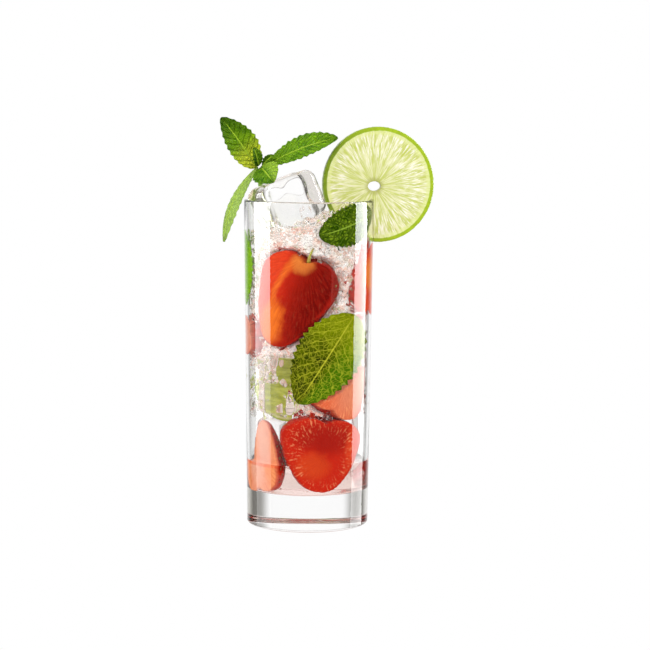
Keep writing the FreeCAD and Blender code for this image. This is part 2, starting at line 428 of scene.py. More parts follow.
dice = random.Random(5)
large_drops = ((-128, 26.5, 26.0, 1.1), (-118, 25.6, 20.4, 0.6), (-104, 24.8, 28.4, 0.9),
               (-40, 26.2, 27.4, 0.7), (-20, 26.0, 22.0, 0.5), (30, 25.0, 27.0, 0.9),
               (80, 26.0, 25.0, 1.0), (140, 25.5, 28.0, 0.8))
small_drops = ((0, 2 * math.pi), (20.0, 26.6), (19.5, 29.6), (0.12, 0.4))
drops = [(math.radians(angle), *rest) for angle, *rest in large_drops]
drops += [[dice.uniform(*span) for span in small_drops] for _ in range(46)]
settle(round_drops("liquid_bubbles", drops, 0.92), air_bubble, "drink")


# ---------------------------------------------------------------- ice cubes

cubes = {
    # sizes, rounding, how uneven the faces are, place
    "ice_cube_top": ((28.5, 27.5, 24.0), 6.0, 0.6,
                     placing(lean=-22, tip=1.5, at=(-10.4, -1.7, 154.7)) @ placing(turn=35)),
    "ice_cube_left": ((20.0, 13.0, 27.0), 3.5, 0.22, placing(turn=-28, tip=-3, at=(-12.0, -13.5, 68.5))),
    "ice_cube_right": ((15.0, 13.0, 23.0), 3.0, 0.22, placing(turn=112, lean=3, at=(17.0, 6.9, 43.5))),
    "ice_cube_low_left": ((13.0, 12.0, 18.0), 3.0, 0.22, placing(turn=70, lean=-5, at=(-17.5, 6.0, 41.8))),
}
inner_cubes = [name for name in cubes if name != "ice_cube_top"]
cube_to_wall = 0.3


def ice_cube(name, sizes, rounding, wobble, home):
    """A block with rounded edges whose faces melted slightly uneven."""
    body = bmesh.new()
    bmesh.ops.create_cube(body, size=2.0)
    bmesh.ops.subdivide_edges(body, edges=body.edges, cuts=23, use_grid_fill=True)
    halves = [s / 2 for s in sizes]
    points = []
    for v in body.verts:
        spot = Vector([c * h for c, h in zip(v.co, halves)])
        inner = Vector([min(max(c, rounding - h), h - rounding) for c, h in zip(spot, halves)])
        way = (spot - inner).normalized()
        spot = home @ (inner + way * rounding)
        outwards = (home.to_3x3() @ way).normalized()
        points.append(spot + outwards * wobble * noise.noise(spot / 7.0))
    faces = [[v.index for v in f.verts] for f in body.faces]
    body.free()
    return new_piece(name, points, faces)


for name, form in cubes.items():
    cube = ice_cube(name.replace("ice_cube", "clear_cube"), *form)
    if name in inner_cubes:
        spots = spots_of(cube.data)
        hold_within(cube.data, spots, inner_radius(spots[:, 2]) - cube_to_wall)
    settle(cube, clear_ice, "clear_ice", name)


# ---------------------------------------------------------------- strawberries

berries = {
    # bearing, height, length, width, depth, lean, setback (1 where the edges of the cut face meet the wall)
    "strawberry_upper": (-110, 109.0, 43.5, 36.5, 15, 22, 1.0),
    "strawberry_right": (-12, 119.6, 33.5, 26, 7.5, -168, 1.0),
    "strawberry_lower": (-75, 36.3, 33.6, 38.5, 11, 6, 1.0),
    "strawberry_lower_left": (-149, 35.0, 33, 25, 9, 172, 1.0),
    "strawberry_middle_right": (-50, 70.6, 30, 30, 11, -150, 1.0),
    "strawberry_left": (178, 90.2, 24, 19, 13, 75, 1.2),
    "strawberry_back": (75, 64.0, 38, 32, 14, -15, 1.0),
}
food_to_wall = 1.0
outline_along = [0.0, 0.045, 0.20, 0.38, 0.58, 0.80, 0.93, 0.99]
outline_across = [0.0, 0.33, 0.61, 0.80, 0.93, 0.98, 0.86, 0.64]
row_gap, seed_gap, seed_sink = 3.3, 3.7, 0.28
dent_depth, dent_radius, swell = 0.42, 0.85, 0.18
fruit_grid = {"strawberry": 0.5, "lime": 0.45}


def berry_placing(shape):
    bearing, height, _, width, _, lean, setback = shape
    room = inner_radius(height) - food_to_wall
    out = math.sqrt(room ** 2 - (setback * width / 2) ** 2)
    return placing(lean=lean, turn=bearing + 90, at=heading(math.radians(bearing)) * out + UP * height)


def seed_spots(berry, home, length, width, depth):
    """Places and directions of the seeds on the skin, in rows that are set over from each other."""
    skin, found, rows = tree_of(berry.data), [], int(length / row_gap)
    for row in range(rows):
        along = 0.08 + 0.86 * (row + 0.5) / rows
        half = width / 2 * np.interp(along, outline_along, outline_across)
        count = max(3, int(math.pi * half / seed_gap))
        for i in range(count + 1):
            a = math.pi * (i + 0.5 * (row % 2)) / count
            if 0.10 < a < math.pi - 0.10:
                start = home @ Vector((0, 0.4, (along - 0.5) * length))
                way = home.to_3x3() @ Vector((math.cos(a), math.sin(a) * depth / (width / 2), 0.0))
                way.normalize()
                spot, normal, _, _ = skin.ray_cast(start + way * 0.5, way)
                if spot is not None:
                    found.append((spot, normal))
    return found


wall_leaves = solid_of("mint_leaf_centre", "mint_leaf_upper_right", "mint_leaf_left")
under_leaf = 1.3


def in_front(spot):
    """Whether a leaf lies between a place at the wall, or one close by, and the glass."""
    turned = math.atan2(spot.y, spot.x)
    for aside, higher in ((0, 0), (0.05, 0), (-0.05, 0), (0, 1.2), (0, -1.2)):
        way = heading(turned + aside)
        if wall_leaves.ray_cast(UP * (spot.z + higher) + way * 20.0, way)[0]:
            return True
    return False


def strawberry(name, shape, press):
    """Half a strawberry: a smooth cut face and a skin with a dimple under each seed. Below the height
    press the cut face lies against the wall or the leaf there, and without it the face bulges a little."""
    bearing, _, length, width, depth, *_ = shape
    home = berry_placing(shape)
    berry = even_copy("half_" + name, name, fruit_grid["strawberry"])
    mesh = berry.data
    seeds = seed_spots(berry, home, length, width, depth)
    spots, normals = spots_of(mesh), spots_of(mesh, "normal")
    local = through(home.inverted(), spots)
    along = local[:, 2] / length + 0.5
    half = width / 2 * np.interp(along, outline_along, outline_across)
    side = local[:, 0] / (width / 2)
    cut = 1.0 - ease(0.3, 0.9, local[:, 1])
    rim = ease(0.86, 1.0, np.abs(local[:, 0]) / np.maximum(half, 0.5))
    near = KDTree(len(seeds))
    for i, (spot, _) in enumerate(seeds):
        near.insert(spot, i)
    near.balance()
    gap = np.array([near.find(s)[2] for s in spots])
    dimple = swell * ease(1.0, 2.4, gap) - dent_depth * np.exp(-(gap / dent_radius) ** 2)
    rough = np.array([noise.noise(Vector(s) / 1.7) for s in spots])
    spots += normals * ((1 - cut) * dimple + cut * (0.05 * rough))[:, None]
    out_way = np.array(heading(math.radians(bearing)))
    dome = 0.8 * np.clip(1 - side ** 2, 0, 1) * np.clip(1 - (2 * along - 1) ** 2, 0, 1)
    if press:
        towards = spots @ out_way
        most = inner_radius(spots[:, 2]) + 2 * wet_contact
        room = most ** 2 - spots[:, 0] ** 2 - spots[:, 1] ** 2
        to_wall = np.sqrt(np.maximum(towards ** 2 + room, 0.0)) - towards
        landing = spots + out_way * to_wall[:, None]
        to_wall -= under_leaf * np.array([in_front(Vector(spot)) for spot in landing])
        dome = to_wall * ease(press + 0.8, press - 0.8, spots[:, 2])
    spots += out_way * (cut * dome)[:, None]
    hold_within(mesh, spots, inner_radius(spots[:, 2]) + 2 * wet_contact)
    keep_on(mesh, "fruit", np.stack([side, along, cut * (1 - 0.5 * rim)], axis=1))
    return berry, [(s - n * seed_sink, n) for s, n in seeds]


def berry_finish(name, flesh, patches, streak=0.5, core=0.5, peel=1.0):
    """Cut strawberry. patches are soft ovals of colour on the cut face: (across, along), (reach across,
    reach along), slope, colour, strength and, for the left half of a ring, the ring's width. streak is how
    strong the pale fibres are that run out from the core, which lies that far along the berry, and peel how
    light its skin is."""
    material, sheet = finish(name)
    side, along, face = sheet.split(sheet.carried("fruit"))
    cut, rim = face.ramp(0.0, 0.5), 1 - face.ramp(0.5, 1.0)
    at = sheet.place()
    waver = (sheet.grain(at, 4.0, scale=0.22) - 0.5) * 0.5
    colour = flesh
    for (s, t), (reach_s, reach_t), slope, tone, strength, *ring in patches:
        ds, dt = side - s + waver * 0.5, along - t + waver * 0.25
        lean = ds - dt * slope
        far = (lean * lean) / (reach_s * reach_s) + (dt * dt) / (reach_t * reach_t)
        near = far.ramp(1.6, 0.0)
        for width in ring:
            near = (far.maths("SQRT") - 1).maths("ABSOLUTE").ramp(width, 0.0) * ds.ramp(0.25, -0.05)
        colour = sheet.mixed(near * strength, colour, tone)
    up = (along - core) * 1.3
    angle = side.maths("ARCTAN2", up)
    reach = (side * side + up * up).maths("SQRT")
    rays = sheet.grain(sheet.joined(angle * 15.0, reach * 6.0, 0.0), 1.0)
    fine = sheet.grain(sheet.joined(angle * 26.0, reach * 5.0, 3.0), 3.0)
    specks = sheet.grain(at, 3.0, scale=1.1).ramp(0.56, 0.68) * reach.ramp(0.25, 0.8)
    colour = sheet.layered(
        colour,
        (rays.ramp(0.58, 0.72) * reach.ramp(0.38, 0.7) * streak, (0.90, 0.36, 0.16)),
        (fine.ramp(0.62, 0.38) * 0.3, (0.42, 0.018, 0.008)),
        (specks * 0.4 * streak, (0.95, 0.42, 0.2)),
        (rim * 0.55, (0.42, 0.014, 0.007)))
    skin = [tuple(peel * c for c in tone) for tone in ((0.32, 0.008, 0.005), (0.50, 0.028, 0.012))]
    skin = sheet.mixed(sheet.grain(at, 3.0, scale=0.3).ramp(0.3, 0.7), *skin)
    bump = sheet.bumped(fine * 0.6 + sheet.grain(at, 2.0, scale=1.4) * 0.4, 0.25)
    return solid_finish(material, sheet, {"Base Color": sheet.mixed(cut, skin, colour), "Roughness": 0.22,
                                          "Normal": bump, "Specular IOR Level": 0.04})


def grain_group(name, inputs):
    """A geometry node group that takes a mesh and more inputs, named with their kinds. Gives back its sheet,
    the inputs as wires and the keys under which a modifier holds them."""
    tree = bpy.data.node_groups.new(name, "GeometryNodeTree")
    face = tree.interface
    face.new_socket("Geometry", in_out="INPUT", socket_type="NodeSocketGeometry")
    keys = {label: face.new_socket(label, in_out="INPUT", socket_type="NodeSocket" + kind).identifier
            for label, kind in inputs.items()}
    face.new_socket("Geometry", in_out="OUTPUT", socket_type="NodeSocketGeometry")
    sheet = Sheet(tree)
    entry = sheet.node("NodeGroupInput").socket.node
    return sheet, {s.name: Wire(sheet, s) for s in entry.outputs if s.name}, keys


def strew(sheet, sockets, material):
    """Ends a node group: copies on points, made into one mesh of one material."""
    placed = sheet.node("GeometryNodeInstanceOnPoints", None, sockets)
    real = sheet.node("GeometryNodeRealizeInstances", None, {0: placed})
    done = sheet.node("GeometryNodeSetMaterial", None, {"Geometry": real, "Material": material})
    sheet.node("NodeGroupOutput", None, {0: done})


def grown(piece, sheet, keys, values):
    """A piece after a node group has run on it with these values."""
    growth = piece.modifiers.new("grains", "NODES")
    growth.node_group = sheet.tree
    for label, value in values.items():
        growth[keys[label]] = value
    return applied(piece)


def scattered_on(name, spots, size, material):
    """Small grains at given places, each lying flat on the surface."""
    holder = new_piece(name, [s for s, _ in spots], [])
    keep_on(holder.data, "way", [tuple(n) for _, n in spots])
    sheet, given, keys = grain_group(name + "_grains", {"Grain Size": "Vector", "Seed": "Int"})
    grain = sheet.node("GeometryNodeMeshUVSphere", None, {"Segments": 8, "Rings": 5, "Radius": 1.0})
    way = sheet.node("GeometryNodeInputNamedAttribute", {"data_type": "FLOAT_VECTOR"}, {"Name": "way"})
    lying = sheet.node("FunctionNodeAlignRotationToVector", {"axis": "Z"}, {"Vector": way})
    full = sheet.scaled(given["Grain Size"], sheet.chance("FLOAT", 0.8, 1.15, given["Seed"]))
    points = sheet.node("GeometryNodeMeshToPoints", None, {"Mesh": given["Geometry"]})
    strew(sheet, {"Points": points, "Instance": grain, "Rotation": lying, "Scale": full}, material)
    grown(holder, sheet, keys, {"Grain Size": [c * MM for c in size], "Seed": 3}).data.shade_smooth()
    return holder


# Besides the plain reds, one red is painted light and one painted shade, for the lit left and shaded right
# halves of the upper berry's cut face
red, painted_lit_red, painted_shade_red = (0.54, 0.018, 0.006), (0.80, 0.065, 0.018), (0.14, 0.002, 0.001)
orange, coral = (0.84, 0.17, 0.022), (0.90, 0.30, 0.10)
berry_looks = {
    # colour, patches, streak, core, peel
    "strawberry_upper": (red, [
        # Painted light over the left of the cut face, then painted shade over its right
        ((-0.85, 0.75), (0.55, 0.6), 0.0, painted_lit_red, 0.9),
        ((1.05, 0.50), (1.15, 1.3), -0.2, painted_shade_red, 1.0),
        ((0.0, 0.55), (0.43, 0.44), 0.0, orange, 0.85, 0.32),
        ((-0.27, 0.22), (0.34, 0.26), 0.0, (0.90, 0.20, 0.02), 0.95),
        ((-0.02, 0.96), (0.30, 0.12), 0.0, (0.76, 0.25, 0.045), 0.7)], 0.04, 1.05, 0.6),
    "strawberry_right": ((0.74, 0.07, 0.02), [((0.0, 0.45), (0.7, 0.25), 0.0, (0.90, 0.25, 0.03), 1.0)], 0.2),
    "strawberry_lower": (red, [
        ((0.0, 0.76), (0.75, 0.24), 0.0, (0.33, 0.009, 0.005), 0.95),
        ((-0.22, 0.36), (0.42, 0.20), 0.0, (0.62, 0.060, 0.012), 0.8),
        ((0.9, 0.6), (0.35, 0.5), 0.0, (0.72, 0.065, 0.018), 0.8)], 0.6),
    "strawberry_lower_left": ((0.86, 0.32, 0.18), [
        ((0.0, 0.5), (0.5, 0.5), 0.0, (0.88, 0.44, 0.30), 1.0),
        ((0.75, 0.5), (0.35, 0.6), 0.0, coral, 0.8),
        ((-0.75, 0.5), (0.35, 0.6), 0.0, coral, 0.8)], 0.25),
    "strawberry_middle_right": ((0.74, 0.15, 0.06), [
        ((-0.3, 0.4), (0.7, 0.6), 0.0, (0.80, 0.28, 0.15), 0.9)], 0.9),
    "strawberry_left": ((0.80, 0.32, 0.22), [((0.0, 0.5), (0.6, 0.5), 0.0, (0.82, 0.40, 0.28), 0.9)], 0.4),
    "strawberry_back": (red, [((0.0, 0.5), (0.4, 0.4), 0.0, orange, 0.8)], 0.4),
}
# Up to which height a cut face is pressed to the wall
pressed = {name: glass_height for name in berries if name != "strawberry_back"}
pressed["strawberry_lower_left"] = liquid_level + 0.5

all_seeds = []
for name, shape in berries.items():
    berry, seeds = strawberry(name, shape, pressed.get(name, 0.0))
    settle(berry, berry_finish(name + "_flesh", *berry_looks[name]), "strawberry", name)
    all_seeds += seeds

seed_finish, sheet = finish("strawberry_seed")
tone = sheet.mixed(sheet.grain(sheet.place(0.25), 1.0), (0.10, 0.035, 0.012), (0.30, 0.16, 0.035))
solid_finish(seed_finish, sheet, {"Base Color": tone, "Roughness": 0.35})


def stalk_piece(name, shape, rise, bow, sides=10, rings=6):
    """A short dry stalk on top of a berry, thinner towards its end."""
    foot = berry_placing(shape) @ Vector((-0.4, 1.0, shape[2] / 2 - 1.6))
    foot.y = -math.sqrt((inner_radius(foot.z) - 2.0) ** 2 - foot.x ** 2)
    stack = []
    for share in (i / rings for i in range(rings + 1)):
        middle = foot + Vector((bow * share * share, 0.5 * share, rise * share))
        stack.append([middle + heading(2 * math.pi * j / sides) * (1.0 - 0.65 * share) for j in range(sides)])
    return rod(name, stack)


stalk_finish, sheet = finish("strawberry_stalk_green")
tone = sheet.mixed(sheet.grain(sheet.place(0.5), 2.0).ramp(0.4, 0.6), (0.34, 0.24, 0.02), (0.40, 0.42, 0.05))
solid_finish(stalk_finish, sheet, {"Base Color": tone, "Roughness": 0.5})
stalk = stalk_piece("strawberry_stalk", berries["strawberry_upper"], rise=6.6, bow=2.2)
settle(stalk, stalk_finish, "strawberry")
settle(scattered_on("strawberry_seeds", all_seeds, (0.55, 0.8, 0.3), seed_finish), seed_finish, "strawberry")


# ---------------------------------------------------------------- mint

vein_net = 1.9            # size of the meshes in the net of fine veins
sprig_bluntness, sprig_sweep = 0.72, 0.2
wall_teeth, wall_sweep, wall_relief, wall_columns = 14, 0.27, 0.2, 48
wall_press = 0.15         # how far a leaf at the wall is pushed into it before it is cut back


def leaf_half_width(share, teeth, width, widest, bluntness):
    bow = math.sin(math.pi * share ** (math.log(0.5) / math.log(widest))) if 0 < share < 1 else 0.0
    valley = abs(1 - (share * 2 * teeth) % 2)
    blade = (width / 2 - stalk_half_width) * bow ** bluntness
    return stalk_half_width + blade * (1 - leaf_tooth_depth * valley)


def leaf_relief(share, side, length, width, ribs, sweep):
    """How far the blade stands up between its veins, from 0 in a vein to 1."""
    phase = ribs * (share - sweep * abs(side))
    rib = abs(math.sin(math.pi * phase)) ** 0.7
    middle = 1 - math.exp(-(side * width / 2 / 0.9) ** 2)
    near = noise.voronoi(Vector((share * length / vein_net, side * width / 2 / vein_net, 0.0)))[0]
    net = min(1.0, (near[1] - near[0]) * 2.2)
    return middle * rib * (0.45 + 0.55 * net)


def leaf_piece(name, blade, length, width, teeth, widest, bluntness, ribs, sweep, relief, columns=36):
    """A thin closed leaf. blade(share, side, half width) gives a place and the way its upper face looks."""
    rows, wide = teeth * 12, columns + 1
    tops, unders, marks = [], [], []
    for share in (i / rows for i in range(rows + 1)):
        half = leaf_half_width(share, teeth, width, widest, bluntness)
        for side in (2 * j / columns - 1 for j in range(wide)):
            spot, up = blade(share, side, half)
            taper = 0.5 * leaf_thickness * (1 - 0.6 * side ** 4)
            lift = relief * (leaf_relief(share, side, length, width, ribs, sweep) - 0.6)
            tops.append(spot + up * (taper + lift))
            unders.append(spot + up * (lift - taper))
            marks.append((share, side))
    count = len(tops)
    faces = []
    for i in range(rows):
        for j in range(columns):
            a, b = i * wide + j, (i + 1) * wide + j
            faces.append((a, a + 1, b + 1, b))
            faces.append((count + b, count + b + 1, count + a + 1, count + a))
    border = list(range(wide)) + [i * wide + columns for i in range(1, rows + 1)]
    border += [rows * wide + j for j in reversed(range(columns))]
    border += [i * wide for i in reversed(range(1, rows))]
    for a, b in zip(border, border[1:] + border[:1]):
        faces.append((b, a, count + a, count + b))
    leaf = new_piece(name, tops + unders, faces)
    keep_on(leaf.data, "blade", [(*mark, below) for below in (0.0, 1.0) for mark in marks])
    return leaf


def free_blade(start, end, sag, face, fold):
    """The surface of a leaf in the air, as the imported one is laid."""
    run = end - start
    normal = Vector(face)
    normal = (normal - run * (normal.dot(run) / run.dot(run))).normalized()

    def blade(share, side, half):
        middle = start + run * share + normal * (4 * sag * share * (1 - share))
        along = (run + normal * (4 * sag * (1 - 2 * share))).normalized()
        across = normal.cross(along).normalized()
        up = along.cross(across).normalized()
        return middle + across * (half * side) + up * (fold * half * abs(side) ** 1.3), up
    return blade


def wall_blade(view, across, height, length, lean):
    """The surface of a leaf pressed against the inside of the glass."""
    turn, tilt = math.radians(view), math.radians(lean)
    outward, sideways = heading(turn), heading(turn + math.pi / 2)

    def blade(share, side, half):
        along = length * (share - 0.5)
        x = across + along * math.cos(tilt) - side * half * math.sin(tilt)
        z = height + along * math.sin(tilt) + side * half * math.cos(tilt)
        radius = inner_radius(z) + wet_contact - leaf_thickness / 2 + wall_press
        x = min(max(x, -0.99 * radius), 0.99 * radius)
        spot = sideways * x + outward * math.sqrt(radius ** 2 - x ** 2)
        return spot + UP * z, spot.normalized()
    return blade


def leaf_finish(name, length, width, ribs, sweep, light, deep, vein, base=None, tip=None, under=None,
                right=None, net=0.6, ridge=0.3, side_veins=0.3, groove_shading=0.0, shine=0.03):
    """Mint: a quilted green blade with a pale midrib, side veins and a fine net between them. base is the
    colour near the stalk, tip that at the other end, under that of the lower face and right that of the
    right half. The creases of the quilting and, on the upper face, the grooves over the side veins are darkened
    with painted shade."""
    material, sheet = finish(name + "_green")
    share, side, below = sheet.split(sheet.carried("blade"))
    reach = side.maths("ABSOLUTE")
    at = sheet.joined(share * (length / vein_net), side * (width / 2 / vein_net), 0.0)
    bend = (sheet.grain(at, 1.0, scale=0.5) - 0.5) * 0.04
    phase = (share + bend - reach * sweep) * (ribs * math.pi)
    rib = phase.maths("SINE").maths("ABSOLUTE")
    web = sheet.cells(at, "DISTANCE_TO_EDGE")
    quilt = web.ramp(0.0, 0.35) * rib.ramp(0.0, 0.6)
    # Near-black green for the painted shade in creases and grooves
    crease_shade = (0.0, 0.02, 0.0)
    colour = sheet.layered(
        deep,
        (sheet.grain(at, 3.0, scale=0.35).ramp(0.35, 0.65), light),
        (side.ramp(0.0, 0.5) * 0.8, right),
        (share.ramp(0.55, 0.08), base),
        (share.ramp(0.45, 0.9) * 0.85, tip),
        # Darker in the creases between the quilts: painted shade
        (quilt.ramp(0.75, 0.1) * (0.6 * ridge), crease_shade),
        (below, under),
        (web.ramp(0.11, 0.03) * net, vein),
        (rib.ramp(0.20, 0.07) * (1 - reach.ramp(0.7, 1.0)) * side_veins, vein),
        # Darker in the grooves over the side veins on the upper face: painted shade
        (rib.ramp(0.45, 0.05) * (1 - below) * groove_shading, crease_shade),
        ((reach * (width / 2)).ramp(0.5, 0.2) * share.ramp(1.0, 0.8), vein))
    bump = sheet.bumped(quilt + sheet.grain(at, 2.0, scale=3.0) * 0.25, 0.5)
    return solid_finish(material, sheet, {"Base Color": colour, "Roughness": 0.45, "Normal": bump,
                                          "Specular IOR Level": shine})


node_at = Vector((-23.6, 11.0, glass_height + 15.0))
leaf_start = 1.8
yellow_vein, green_vein = (0.46, 0.46, 0.03), (0.36, 0.54, 0.035)
sprig_looks = dict(vein=green_vein, net=0.1, ridge=0.6, side_veins=0.0, groove_shading=0.45)
sprig = {
    # direction, reach, rise, sag, face, width, fold, teeth, widest, ribs, relief, looks
    "sprig_leaf_upper_left": (
        (-17.3, -5, 24.3), 29.5, 0.0, 1.4, (0.35, -1, 0.25), 16.5, 0.2, 10, 0.43, 9, 0.55,
        dict(light=(0.22, 0.43, 0.009), deep=(0.11, 0.26, 0.004), base=(0.88, 0.98, 0.06),
             tip=(0.05, 0.15, 0.003))),
    "sprig_leaf_right": (
        (36, -13.5, 14.8), 40.5, 0.0, 2.4, (-0.25, -0.7, 0.75), 16.5, 0.12, 12, 0.55, 14, 0.6,
        dict(light=(0.22, 0.46, 0.010), deep=(0.10, 0.27, 0.005), base=(0.22, 0.44, 0.012))),
    "sprig_leaf_hanging": (
        (-15.0, -17.5, -34), 42.0, 0.0, -4.0, (0.75, 0.6, 0.1), 10.8, 0.15, 12, 0.52, 11, 0.4,
        dict(light=(0.30, 0.48, 0.07), deep=(0.20, 0.38, 0.04), under=(0.30, 0.46, 0.10),
             base=(0.22, 0.44, 0.02), side_veins=0.35, net=0.35)),
    "sprig_leaf_front": (
        (6.5, -25.5, -6.2), 27.0, 0.0, 2.2, (-0.54, -0.36, 0.74), 14.5, 0.1, 8, 0.6, 9, 0.5,
        dict(light=(0.16, 0.36, 0.008), deep=(0.07, 0.22, 0.004), right=(0.42, 0.68, 0.05))),
    "sprig_leaf_young_right": (
        (6.5, -6.5, 6.5), 9.0, 0.7, 0.4, (-0.3, -0.8, 0.5), 5.0, 0.25, 5, 0.43, 6, 0.3,
        dict(light=(0.14, 0.3, 0.01), deep=(0.05, 0.14, 0.004))),
    "sprig_leaf_young_up": (
        (-2.4, -5.0, 9.5), 10.0, 0.8, 0.5, (0.6, -1, 0.3), 6.0, 0.3, 5, 0.43, 6, 0.3,
        dict(light=(0.15, 0.32, 0.01), deep=(0.04, 0.13, 0.003))),
}
for name, (way, reach, rise, sag, face, width, fold, teeth, widest, ribs, relief, look) in sprig.items():
    toward = Vector(way).normalized()
    start = node_at + UP * rise + Vector((toward.x, toward.y, 0)).normalized() * leaf_start
    blade = free_blade(start, start + toward * reach, sag, face, fold)
    leaf = leaf_piece("mint_" + name, blade, reach, width, teeth, widest, sprig_bluntness, ribs, sprig_sweep,
                      relief)
    look = {**sprig_looks, **look}
    settle(leaf, leaf_finish(name, reach, width, ribs, sprig_sweep, **look), "mint", name)

pressed_leaves = {
    # view, across, height, length, width, lean, widest, bluntness, ribs, looks
    "mint_leaf_centre": (
        -90, 8.3, 82.4, 48.5, 32.0, -122, 0.45, 0.65, 8,
        dict(light=(0.10, 0.13, 0.001), deep=(0.03, 0.045, 0.001), vein=yellow_vein, base=(0.22, 0.28, 0.002),
             right=(0.07, 0.20, 0.002), net=0.4, ridge=0.1, side_veins=0.5, shine=0.0)),
    "mint_leaf_upper_right": (
        -50, 1.6, 145.3, 34.0, 20.0, -163, 0.52, 0.58, 9,
        dict(light=(0.22, 0.34, 0.015), deep=(0.08, 0.16, 0.003), vein=(0.26, 0.40, 0.04), net=0.0,
             ridge=1.25, side_veins=0.4, shine=0.0)),
    "mint_leaf_left": (
        -172, 0.0, 124.0, 36.0, 20.0, -86, 0.45, 0.65, 8,
        dict(light=(0.28, 0.62, 0.008), deep=(0.20, 0.50, 0.005), vein=green_vein, net=0.3)),
    "mint_leaf_back": (
        74, 0.0, 104.0, 40.0, 25.0, -60, 0.45, 0.65, 8,
        dict(light=(0.2, 0.36, 0.012), deep=(0.09, 0.2, 0.006), vein=green_vein, net=0.4, ridge=0.4)),
}
for name, (view, across, height, length, width, lean, *form, ribs, look) in pressed_leaves.items():
    blade = wall_blade(view, across, height, length, lean)
    leaf = leaf_piece(name.replace("mint_leaf", "pressed_mint"), blade, length, width, wall_teeth, *form,
                      ribs, wall_sweep, wall_relief, wall_columns)
    spots = spots_of(leaf.data)
    hold_within(leaf.data, spots, inner_radius(spots[:, 2]) + 2 * wet_contact)
    settle(leaf, leaf_finish(name, length, width, ribs, wall_sweep, **look), "mint", name)


def stem_piece(bend=160.0, length=46.0, half=1.15, steps=36, sides=16):
    """The sprig's square stem with soft corners, bowed down into the ice."""
    centre = node_at - UP * leaf_thickness + Vector((bend, 0, 0))
    stack = []
    for i in range(steps + 1):
        a = length / bend * i / steps
        out = Vector((-math.cos(a), 0, -math.sin(a)))
        ring = []
        for j in range(sides):
            b = 2 * math.pi * j / sides
            soft = (abs(math.cos(b)) ** 4 + abs(math.sin(b)) ** 4) ** -0.25
            thick = half * (1 + 0.03 * math.sin(i * 1.9 + j)) * soft
            ring.append(centre + out * (bend + thick * math.cos(b)) + Vector((0, thick * math.sin(b), 0)))
        stack.append(ring)
    return rod("mint_stem", stack)


stem_green, sheet = finish("mint_stem_green")
streaks = sheet.node("ShaderNodeTexNoise", None, {"Vector": sheet.node("ShaderNodeMapping", None, {
    "Vector": sheet.place(), "Scale": (1.5, 1.5, 0.12)}), "Scale": 1.0, "Detail": 3.0})
tone = sheet.mixed(streaks.ramp(0.35, 0.65), (0.14, 0.30, 0.02), (0.34, 0.50, 0.06))
solid_finish(stem_green, sheet, {"Base Color": tone, "Roughness": 0.45, "Normal": sheet.bumped(streaks, 0.2)})
settle(stem_piece(), stem_green, "mint", "sprig_stem")


# ---------------------------------------------------------------- lime

slice_width, slice_height = 53.6, 55.0
slice_centre, slice_turn = (33.0, 5.5, glass_height + 7.3), 7.0
slice_core = (-2.0, -0.8)
segments = 10
wedge_length, wedge_depth = 34.0, 22.0


def lime_slice():
    piece = even_copy("lime_round", "lime_slice", fruit_grid["lime"])
    mesh = piece.data
    spots, normals = spots_of(mesh), spots_of(mesh, "normal")
    home = placing(turn=slice_turn, at=slice_centre)
    local = through(home.inverted(), spots)
    x, z = local[:, 0] - slice_core[0], local[:, 2] - slice_core[1]
    rim = np.hypot(local[:, 0] / (slice_width / 2), local[:, 2] / (slice_height / 2))
    angle, reach = np.arctan2(z, x), np.hypot(x, z)
    flat = ease(0.6, 0.9, np.abs(through(home.to_3x3().inverted().to_4x4(), normals)[:, 1]))
    sacs = np.array([noise.noise(Vector((a * 9.0, r * 0.22, 0.0))) for a, r in zip(angle, reach)])
    pores = np.array([noise.noise(Vector(s) * 1.1) for s in spots])
    inside = ease(0.93, 0.90, rim)
    lift = flat * inside * (0.22 * sacs - 0.12) + (1 - flat) * ease(0.95, 0.97, rim) * 0.12 * pores
    move_spots(mesh, spots + normals * lift[:, None])
    keep_on(mesh, "round", np.stack([x, z, rim], axis=1))
    return piece


